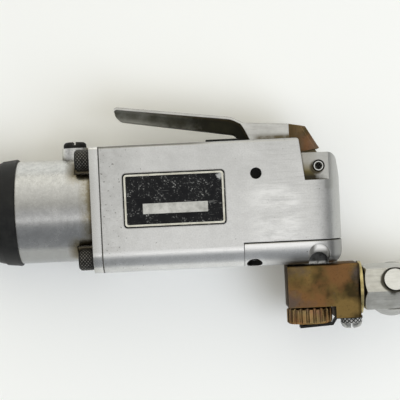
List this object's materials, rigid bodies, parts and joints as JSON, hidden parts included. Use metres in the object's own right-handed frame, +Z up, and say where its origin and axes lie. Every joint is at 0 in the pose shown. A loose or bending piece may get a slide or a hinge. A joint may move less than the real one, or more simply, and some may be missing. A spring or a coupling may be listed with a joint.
{
  "type": "air impact wrench",
  "caption": "Hand-held air impact wrench lying on its side: square drive in a rubber-nosed case, motor housing with a squeeze lever, regulator wheel and hose swivel.",
  "frame": {"origin": "on the flat side that the tool lies on, under the middle of the air motor", "axes": "+X along the motor axis from the square drive to the hose end, +Y towards the lever, +Z up from the surface that the tool lies on"},
  "size_m": [0.2416, 0.1049, 0.0505],
  "materials": {
    "cast_aluminium": "tumbled cast, satin, with fine pits",
    "turned_aluminium": "turned, satin, handled",
    "boot_rubber": "matt moulded rubber",
    "gasket_sheet": "pressed gasket sheet",
    "black_oxide_steel": "black oxide, knurled where gripped",
    "plate_enamel": "black enamel with a pale border, scratched",
    "lever_steel": "worn steel, dark in the recess",
    "heel_bronze": "tarnished bronze",
    "bright_steel": "ground and plated steel",
    "tool_steel": "ground tool steel",
    "regulator_brass": "tarnished brass with brown and purple patina",
    "bushing_bronze": "oiled bronze",
    "seal_rubber": "smooth seal rubber",
    "blade_phenolic": "laminated phenolic"
  },
  "bodies": {
    "housing": {"motor_housing": "cast_aluminium", "hammer_case": "turned_aluminium", "nose_boot": "boot_rubber", "flange_gasket": "gasket_sheet", "case_screws": "black_oxide_steel", "case_lock_washers": "black_oxide_steel", "oil_plug": "black_oxide_steel", "name_plate": "plate_enamel", "lever_stop": "seal_rubber", "lever_pin": "bright_steel", "cross_pin": "black_oxide_steel", "throttle_bushing": "bushing_bronze", "throttle_spring": "bright_steel", "exhaust_cover": "cast_aluminium", "inlet_nipple": "bright_steel", "inlet_screen": "bright_steel", "regulator_body": "regulator_brass", "detent_spring": "black_oxide_steel", "detent_screw": "bright_steel", "swivel_gland": "regulator_brass", "swivel_seal": "seal_rubber", "anvil_bushing": "bushing_bronze", "cylinder_liner": "tool_steel", "front_end_plate": "tool_steel", "rear_end_plate": "tool_steel", "cylinder_dowel": "bright_steel", "outer_races": "tool_steel"},
    "lever": {"throttle_lever": "lever_steel", "lever_heel": "heel_bronze"},
    "plunger": {"throttle_plunger": "bright_steel", "plunger_seal": "seal_rubber", "throttle_valve": "seal_rubber"},
    "rotor_train": {"rotor": "tool_steel", "rotor_blades": "blade_phenolic", "inner_races": "tool_steel", "bearing_balls": "tool_steel", "hammer_cage": "tool_steel", "hammers": "tool_steel", "hammer_pins": "tool_steel"},
    "anvil_train": {"anvil": "tool_steel", "socket_retainer": "tool_steel"},
    "regulator_knob": {"regulator_wheel": "regulator_brass", "regulator_spindle": "regulator_brass", "spindle_seal": "seal_rubber"},
    "swivel_knuckle": {"swivel_body": "bright_steel", "swivel_pin": "bright_steel", "swivel_clip": "bright_steel"},
    "swivel_end": {"swivel_tail": "bright_steel", "pivot_seal": "seal_rubber"}
  },
  "joints": [
    {"name": "lever_squeeze", "type": "hinge", "parent": "housing", "child": "lever", "pos_m": [0.07, 0.0148, 0.025], "axis": [0, 0, 1], "range_deg": [0, 3.1], "stiffness_Nm_per_rad": 0.9, "springref_deg": -8.59},
    {"name": "plunger_travel", "type": "slide", "parent": "housing", "child": "plunger", "axis": [0, -1, 0], "range_m": [0, 0.0012], "deforming": ["throttle_spring"]},
    {"name": "rotor_spin", "type": "hinge", "parent": "housing", "child": "rotor_train", "pos_m": [0, 0, 0.025], "axis": [1, 0, 0], "continuous": true},
    {"name": "anvil_spin", "type": "hinge", "parent": "housing", "child": "anvil_train", "pos_m": [-0.06, 0, 0.025], "axis": [1, 0, 0], "continuous": true},
    {"name": "regulator_turn", "type": "hinge", "parent": "housing", "child": "regulator_knob", "pos_m": [0.0647, -0.052, 0.025], "axis": [0, 1, 0], "range_deg": [-135, 135]},
    {"name": "swivel_roll", "type": "hinge", "parent": "housing", "child": "swivel_knuckle", "pos_m": [0.091, -0.041, 0.025], "axis": [1, 0, 0], "continuous": true},
    {"name": "swivel_fold", "type": "hinge", "parent": "swivel_knuckle", "child": "swivel_end", "pos_m": [0.1035, -0.041, 0.025], "axis": [0, 0.342, 0.9397], "range_deg": [-90, 90]}
  ],
  "couplings": [
    {"joint": "plunger_travel", "follows": "lever_squeeze", "m_per_rad": 0.0215},
    {"joint": "anvil_spin", "follows": "rotor_spin", "ratio": 1}
  ]
}
